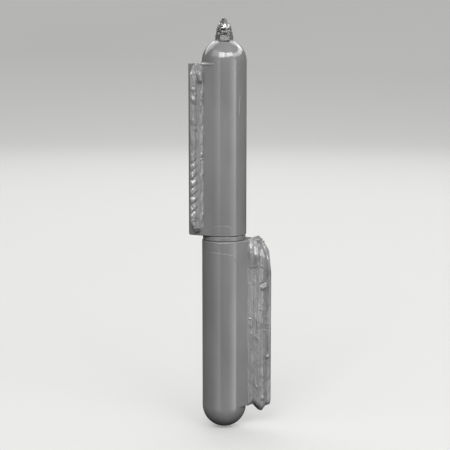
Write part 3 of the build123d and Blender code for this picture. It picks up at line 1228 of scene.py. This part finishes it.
@dataclass(frozen=True)
class Crust:
    """Dried grease and overspray heaped on the nipple, in lumps of about a millimetre.

    The profile holds radius and height, and the lumps their size and how far they push the skin."""

    profile: Path = (
        (0.0, 131.9), (3.3, 131.9), (3.52, 132.2), (3.5, 133.3), (3.3, 134.6), (2.95, 135.9),
        (2.4, 137.1), (1.7, 138.2), (1.0, 138.7), (0.85, 139.3), (0.0, 139.6),
    )
    lumps: Path = ((1.5, 0.35), (0.8, 0.36), (0.42, 0.2))
    around: int = 150
    rows: int = 120
    tip: float = 0.02
    foot: float = 0.4
    grease: OldGrease = OldGrease("dried_grease")

    def push(self, points: np.ndarray) -> np.ndarray:
        """How far each point is pushed out.

        Args:
            points: the points, round an upright axis at zero.

        Returns:
            The push, one number a point.
        """
        spots = [Vector(point) for point in points.reshape(-1, 3)]
        pushes = [sum(rise * noise.noise(spot / size) for size, rise in self.lumps) for spot in spots]
        return np.array(pushes).reshape(points.shape[:-1])

    def build(self, axis_x: float, axis_y: float) -> None:
        """Makes the crust as a lathe form pushed in and out by noise.

        Args:
            axis_x: x of the hinge axis.
            axis_y: y of the hinge axis.
        """
        outline = np.array(self.profile)
        reach = np.append(0, np.cumsum(np.linalg.norm(np.diff(outline, axis=0), axis=1)))
        steps = np.linspace(0, reach[-1], self.rows + 1)[1:]
        radius, height = [np.interp(steps, reach, values)[:, None] for values in outline.T]
        radius[-1] = self.tip
        spin = np.linspace(0, 2 * math.pi, self.around, endpoint=False)
        turned = (radius * np.cos(spin), radius * np.sin(spin), height * np.ones_like(spin))
        points = np.stack(turned, axis=-1)
        normal = outward(np.concatenate([points, points[:, :1]], axis=1))[:, :-1]
        if np.sum(normal[..., :2] * points[..., :2]) < 0:
            normal = -normal
        held = np.clip((height - outline[0, 1]) / self.foot, 0, 1)
        points = points + normal * (self.push(points) * held)[..., None] + np.array([axis_x, axis_y, 0])
        points, faces = closed_tube(points)
        points = fit_in(points, "grease_crust")
        crust = mesh_object("crust_lumps", (points, faces), self.grease.material())
        settle(crust, Body.UPPER, Slot.GREASE, "grease_crust")
        log.info("crust up to %.1f mm", points[:, 2].max())


@dataclass(frozen=True)
class PhotoCamera:
    """Camera that stands where the photo was taken from, by its angles round the hinge and its aim."""

    azimuth: float = 27.0
    pitch: float = 8.7
    distance: float = 575.0
    focal_pixels: float = 1247.0
    frame_pixels: float = 450.0
    sensor: float = 36.0
    aim_height: float = 45.42
    aim_right: float = 0.36
    clip: Point = (0.01, 50.0)

    def toward(self, swing: float, rise: float) -> Vector:
        """Unit vector from the hinge, turned to the camera's right and raised.

        Args:
            swing: angle to the right of the camera, seen from above.
            rise: angle over the horizon.

        Returns:
            The direction.
        """
        turn, lift = math.radians(self.azimuth + swing), math.radians(rise)
        return Vector((math.sin(turn) * math.cos(lift), -math.cos(turn) * math.cos(lift), math.sin(lift)))

    def build(self, axis_x: float, axis_y: float) -> None:
        """Makes the camera, aimed beside the hinge axis, and makes it the scene's own.

        Args:
            axis_x: x of the hinge axis.
            axis_y: y of the hinge axis.
        """
        data = bpy.data.cameras.new("photo_camera")
        data.sensor_width = self.sensor
        data.lens = self.focal_pixels / self.frame_pixels * self.sensor
        data.clip_start, data.clip_end = self.clip
        camera = bpy.data.objects.new("photo_camera", data)
        bpy.context.scene.collection.objects.link(camera)
        away = self.toward(0, self.pitch)
        target = Vector((axis_x, axis_y, self.aim_height)) + self.toward(90, 0) * self.aim_right
        camera.location = (target + away * self.distance) * MM
        camera.rotation_euler = (-away).to_track_quat("-Z", "Y").to_euler()
        bpy.context.scene.camera = camera


@dataclass(frozen=True)
class SoftBox:
    """One rectangular studio light, by its direction from the hinge and the angles that it fills."""

    name: str
    swing: float
    rise: float
    wide: float
    high: float
    radiance: float
    distance: float = 1500.0

    def build(self, camera: PhotoCamera, aim: Vector) -> None:
        """Makes the light.

        Args:
            camera: the camera that its swing is counted from.
            aim: the point that it shines at.
        """
        halves = [math.radians(angle / 2) for angle in (self.wide, self.high)]
        spans = [2 * self.distance * math.tan(half) * MM for half in halves]
        data = bpy.data.lights.new(self.name, "AREA")
        data.shape = "RECTANGLE"
        data.size, data.size_y = spans
        data.energy = self.radiance * math.pi * math.prod(spans)
        box = bpy.data.objects.new(self.name, data)
        bpy.context.scene.collection.objects.link(box)
        away = camera.toward(self.swing, self.rise)
        box.location = (aim + away * self.distance) * MM
        box.rotation_euler = (-away).to_track_quat("-Z", "Y").to_euler()
        box.visible_camera = False


@dataclass(frozen=True)
class Surroundings:
    """Soft light from all round: how bright it is by the angle round the hinge and by the height over it."""

    round_stops: Path = (
        (-180, 0.05), (-110, 0.04), (-66, 0.03), (-56, 0.1), (-46, 0.2), (-33, 0.3), (-27, 0.34),
        (-25.5, 0.6), (-22.5, 0.6), (-21, 0.04), (20, 0.04), (28, 0.15), (36, 0.35), (46, 0.6),
        (56, 1.0), (62, 0.95), (65, 0.05), (95, 0.03), (180, 0.05),
    )
    height_stops: Path = (
        (-90, 0.02), (-35, 0.03), (-20, 0.6), (-15.7, 0.95), (-13.5, 0.8), (-10.7, 0.5), (-8, 0.52),
        (-5.5, 0.74), (-3.3, 1.0), (2, 1.0), (8, 0.75), (18, 0.35), (60, 0.2), (90, 0.15),
    )
    brightest: float = 4.3

    def build(self, camera: PhotoCamera) -> None:
        """Makes the world's light, turned to the camera's side of the hinge.

        Args:
            camera: the camera that the angles are counted from.
        """
        world = bpy.data.worlds.new("soft_surroundings")
        world.use_nodes = True
        bpy.context.scene.world = world
        tree = world.node_tree
        tree.nodes.clear()
        place = add_node(tree, "ShaderNodeTexCoord").outputs["Generated"]
        turn = {"vector_type": "POINT", "Rotation": (0, 0, math.radians(90 - camera.azimuth))}
        turned = add_node(tree, "ShaderNodeMapping", turn, {"Vector": place})
        x, y, z = add_node(tree, "ShaderNodeSeparateXYZ", links={0: turned.outputs[0]}).outputs
        swing = add_node(tree, "ShaderNodeMath", {"operation": "ARCTAN2"}, {0: y, 1: x})
        rise = add_node(tree, "ShaderNodeMath", {"operation": "ARCSINE"}, {0: z})
        levels = {}
        ways = ((swing, 360, self.round_stops), (rise, 180, self.height_stops))
        for number, (angle, whole, stops) in enumerate(ways):
            half = math.radians(whole / 2)
            share = add_node(tree, "ShaderNodeMapRange", span(-half, half), {"Value": angle.outputs[0]})
            placed = [(0.5 + degrees / whole, grey) for degrees, grey in stops]
            ramp = add_node(tree, "ShaderNodeValToRGB", {"stops": placed}, {0: share.outputs["Result"]})
            levels[number] = ramp.outputs[0]
        light = add_node(tree, "ShaderNodeMath", {"operation": "MULTIPLY"}, levels)
        limits = span(0, 1, 0, self.brightest)
        strength = add_node(tree, "ShaderNodeMapRange", limits, {"Value": light.outputs[0]})
        white = {"Color": linear("#ffffff")}
        shader = add_node(tree, "ShaderNodeBackground", white, {"Strength": strength.outputs["Result"]})
        add_node(tree, "ShaderNodeOutputWorld", links={"Surface": shader.outputs[0]})


@dataclass(frozen=True)
class Studio:
    """Pale floor that sweeps up all round into a pale wall, soft boxes, soft surroundings and the camera.

    The boxes shine at the point of the hinge axis at lit_height."""

    floor_gap: float = 0.5
    floor_radius: float = 1500.0
    sweep_radius: float = 900.0
    sweep_steps: int = 16
    wall_height: float = 2600.0
    around: int = 96
    lit_height: float = 90.84
    paper: SeamlessPaper = SeamlessPaper("seamless_paper")
    camera: PhotoCamera = PhotoCamera()
    surroundings: Surroundings = Surroundings()
    boxes: tuple[SoftBox, ...] = (
        SoftBox("far_left_soft_box", -54, 40, 38, 30, 2.4),
        SoftBox("left_soft_box", -15, 36, 26, 25, 12),
        SoftBox("middle_soft_box", 11, 36, 26, 22, 8.5),
        SoftBox("right_soft_box", 36, 36, 24, 18, 12),
        SoftBox("far_right_soft_box", 64, 31, 24, 15, 5.0),
        SoftBox("side_soft_box", 94, 31, 30, 15, 5.0),
        SoftBox("nose_soft_box", 128, 32, 34, 16, 4.5),
        SoftBox("back_right_soft_box", 168, 38, 50, 40, 2.6),
        SoftBox("back_left_soft_box", -150, 38, 60, 40, 2.6),
    )

    def profile(self) -> list[Point]:
        """Outline of the sweep after its middle, as radius and height.

        Returns:
            Its points, from the floor up the wall.
        """
        points = [(self.floor_radius / 2, 0.0), (self.floor_radius, 0.0)]
        for turn in np.linspace(0, math.pi / 2, self.sweep_steps + 1)[1:]:
            radius = self.floor_radius + self.sweep_radius * math.sin(turn)
            points.append((radius, self.sweep_radius * (1 - math.cos(turn))))
        return [*points, (self.floor_radius + self.sweep_radius, self.wall_height)]

    def build_sweep(self, low: float) -> None:
        """Makes the floor and wall, which light the hinge by neither bounce nor reflection.

        Args:
            low: height of the hinge's lowest point.
        """
        floor = low - self.floor_gap
        points = [(0.0, 0.0, floor)]
        for radius, height in self.profile():
            for step in range(self.around):
                turn = 2 * math.pi * step / self.around
                points.append((radius * math.cos(turn), radius * math.sin(turn), floor + height))
        faces = [(0, 1 + step, 1 + (step + 1) % self.around) for step in range(self.around)]
        rings = tube_faces(len(self.profile()), self.around)
        faces += [tuple(1 + corner for corner in quad[::-1]) for quad in rings]
        sweep = mesh_object("studio_sweep", (np.array(points), faces), self.paper.material())
        sweep.visible_diffuse = False
        sweep.visible_glossy = False
        sweep.visible_shadow = False

    def build(self, axis_x: float, axis_y: float) -> None:
        """Makes the whole studio.

        Args:
            axis_x: x of the hinge axis.
            axis_y: y of the hinge axis.
        """
        self.build_sweep(cad_box[0].z / MM)
        self.surroundings.build(self.camera)
        for box in self.boxes:
            box.build(self.camera, Vector((axis_x, axis_y, self.lit_height)))
        self.camera.build(axis_x, axis_y)
        bpy.context.scene.view_settings.view_transform = "Standard"
        log.info("studio with %d soft boxes", len(self.boxes))


def dress(node: str, finish: bpy.types.Material) -> None:
    """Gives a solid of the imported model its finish.

    Args:
        node: the solid's name.
        finish: the material for its whole surface.
    """
    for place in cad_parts[node].material_slots:
        place.material = finish
    log.info("%s dressed in %s", node, finish.name)


@dataclass(frozen=True)
class Leaves:
    """Both leaves under one thick coat of enamel."""

    paint: Enamel = Enamel("sprayed_enamel")

    def build(self) -> None:
        """Dresses the leaves."""
        coat = self.paint.material()
        for node in ("upper_leaf", "lower_leaf"):
            dress(node, coat)


@dataclass(frozen=True)
class PinAndRing:
    """The ring, painted over with the leaves, and the oiled pin inside."""

    ring_paint: Enamel = Enamel(
        "enamel_on_ring",
        ("#565656", "#656565"),
        (0.12, 0.3),
        Layer(5.0, 4, (1, 1, 2.5), (0.35, 0.62)),
        Layer(5.0 / 3),
    )
    steel: TurnedSteel = TurnedSteel("turned_pin_steel")

    def build(self) -> None:
        """Dresses the ring and the pin."""
        dress("thrust_ring", self.ring_paint.material())
        dress("hinge_pin", self.steel.material())


@dataclass(frozen=True)
class ValveSpring:
    """Coil spring under the valve ball, which squeezes it against its seat as it goes down; the coil is made
    at one length and stays so.
    """

    wire: float = 0.16
    turns: int = 5
    steps: int = 36
    around: int = 10
    travel: float = 0.8
    steel: TurnedSteel = TurnedSteel(
        "drawn_spring_wire", roughness=(0.3, 0.3), bumps=(Layer(0.08, 2, (60, 60, 1), depth_mm=0.002),)
    )

    def build(self) -> None:
        """Makes the coil inside the solid that it stands for."""
        low, high = [np.array(corner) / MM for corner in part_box("nipple_spring")]
        middle, height = (low + high) / 2, high[2] - low[2]
        share = np.linspace(0, 1, self.turns * self.steps + 1)
        turn = 2 * math.pi * self.turns * share
        away = np.stack([np.cos(turn), np.sin(turn), np.zeros_like(turn)], axis=-1)
        foot = np.array([middle[0], middle[1], low[2] + self.wire])
        core = foot + away * ((high[0] - low[0]) / 2 - self.wire)
        core[:, 2] += (height - 2 * self.wire) * share
        across = np.cross(np.gradient(core, axis=0), away)
        across /= np.linalg.norm(across, axis=1, keepdims=True)
        spin = np.linspace(0, 2 * math.pi, self.around, endpoint=False)[None, :, None]
        loops = core[:, None] + self.wire * (away[:, None] * np.cos(spin) + across[:, None] * np.sin(spin))
        points, faces = closed_tube(loops)
        points = fit_in(points, "nipple_spring")
        coil = mesh_object("valve_spring_coil", (points, faces), self.steel.material())
        settle(coil, Body.UPPER, Slot.VALVE_STEEL, "nipple_spring")
        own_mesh(coil)
        log.info("valve spring of %d turns", self.turns)


@dataclass(frozen=True)
class Nipple:
    """Zinc-plated grease nipple with its valve ball and spring."""

    plate: PlatedSteel = PlatedSteel("zinc_plated_steel")
    ball_steel: TurnedSteel = TurnedSteel(
        "polished_ball_steel", roughness=(0.12, 0.12), bumps=(Layer(0.12, 2, (60, 60, 1), depth_mm=0.0002),)
    )
    spring: ValveSpring = ValveSpring()

    def build(self) -> None:
        """Dresses the nipple and its ball, and makes its spring."""
        dress("nipple_body", self.plate.material())
        dress("nipple_ball", self.ball_steel.material())
        self.spring.build()


def main() -> None:
    """Builds the looks in order."""
    logging.basicConfig(level=logging.INFO, format="%(name)s: %(message)s")
    low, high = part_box("hinge_pin")
    axis_x, axis_y = [(low[i] + high[i]) / 2 / MM for i in (0, 1)]
    Studio().build(axis_x, axis_y)
    Leaves().build()
    PinAndRing().build()
    Nipple().build()
    # The lower wing's rear flank lies at y 0 and touches the barrel, so the axis is a radius in front of it.
    bar = DropBar(barrel_radius=-axis_y)
    lower_wing = WingFrame(axis_x, axis_y, bar.flank_angle)
    upper_wing = WingFrame(axis_x, axis_y, bar.flank_angle + 180)
    LowerWeld().build(lower_wing, bar)
    UpperWeld().build(upper_wing, bar)
    PaintMarks().build(bar, lower_wing, upper_wing)
    Crust().build(axis_x, axis_y)


if __name__ == "__main__":
    main()
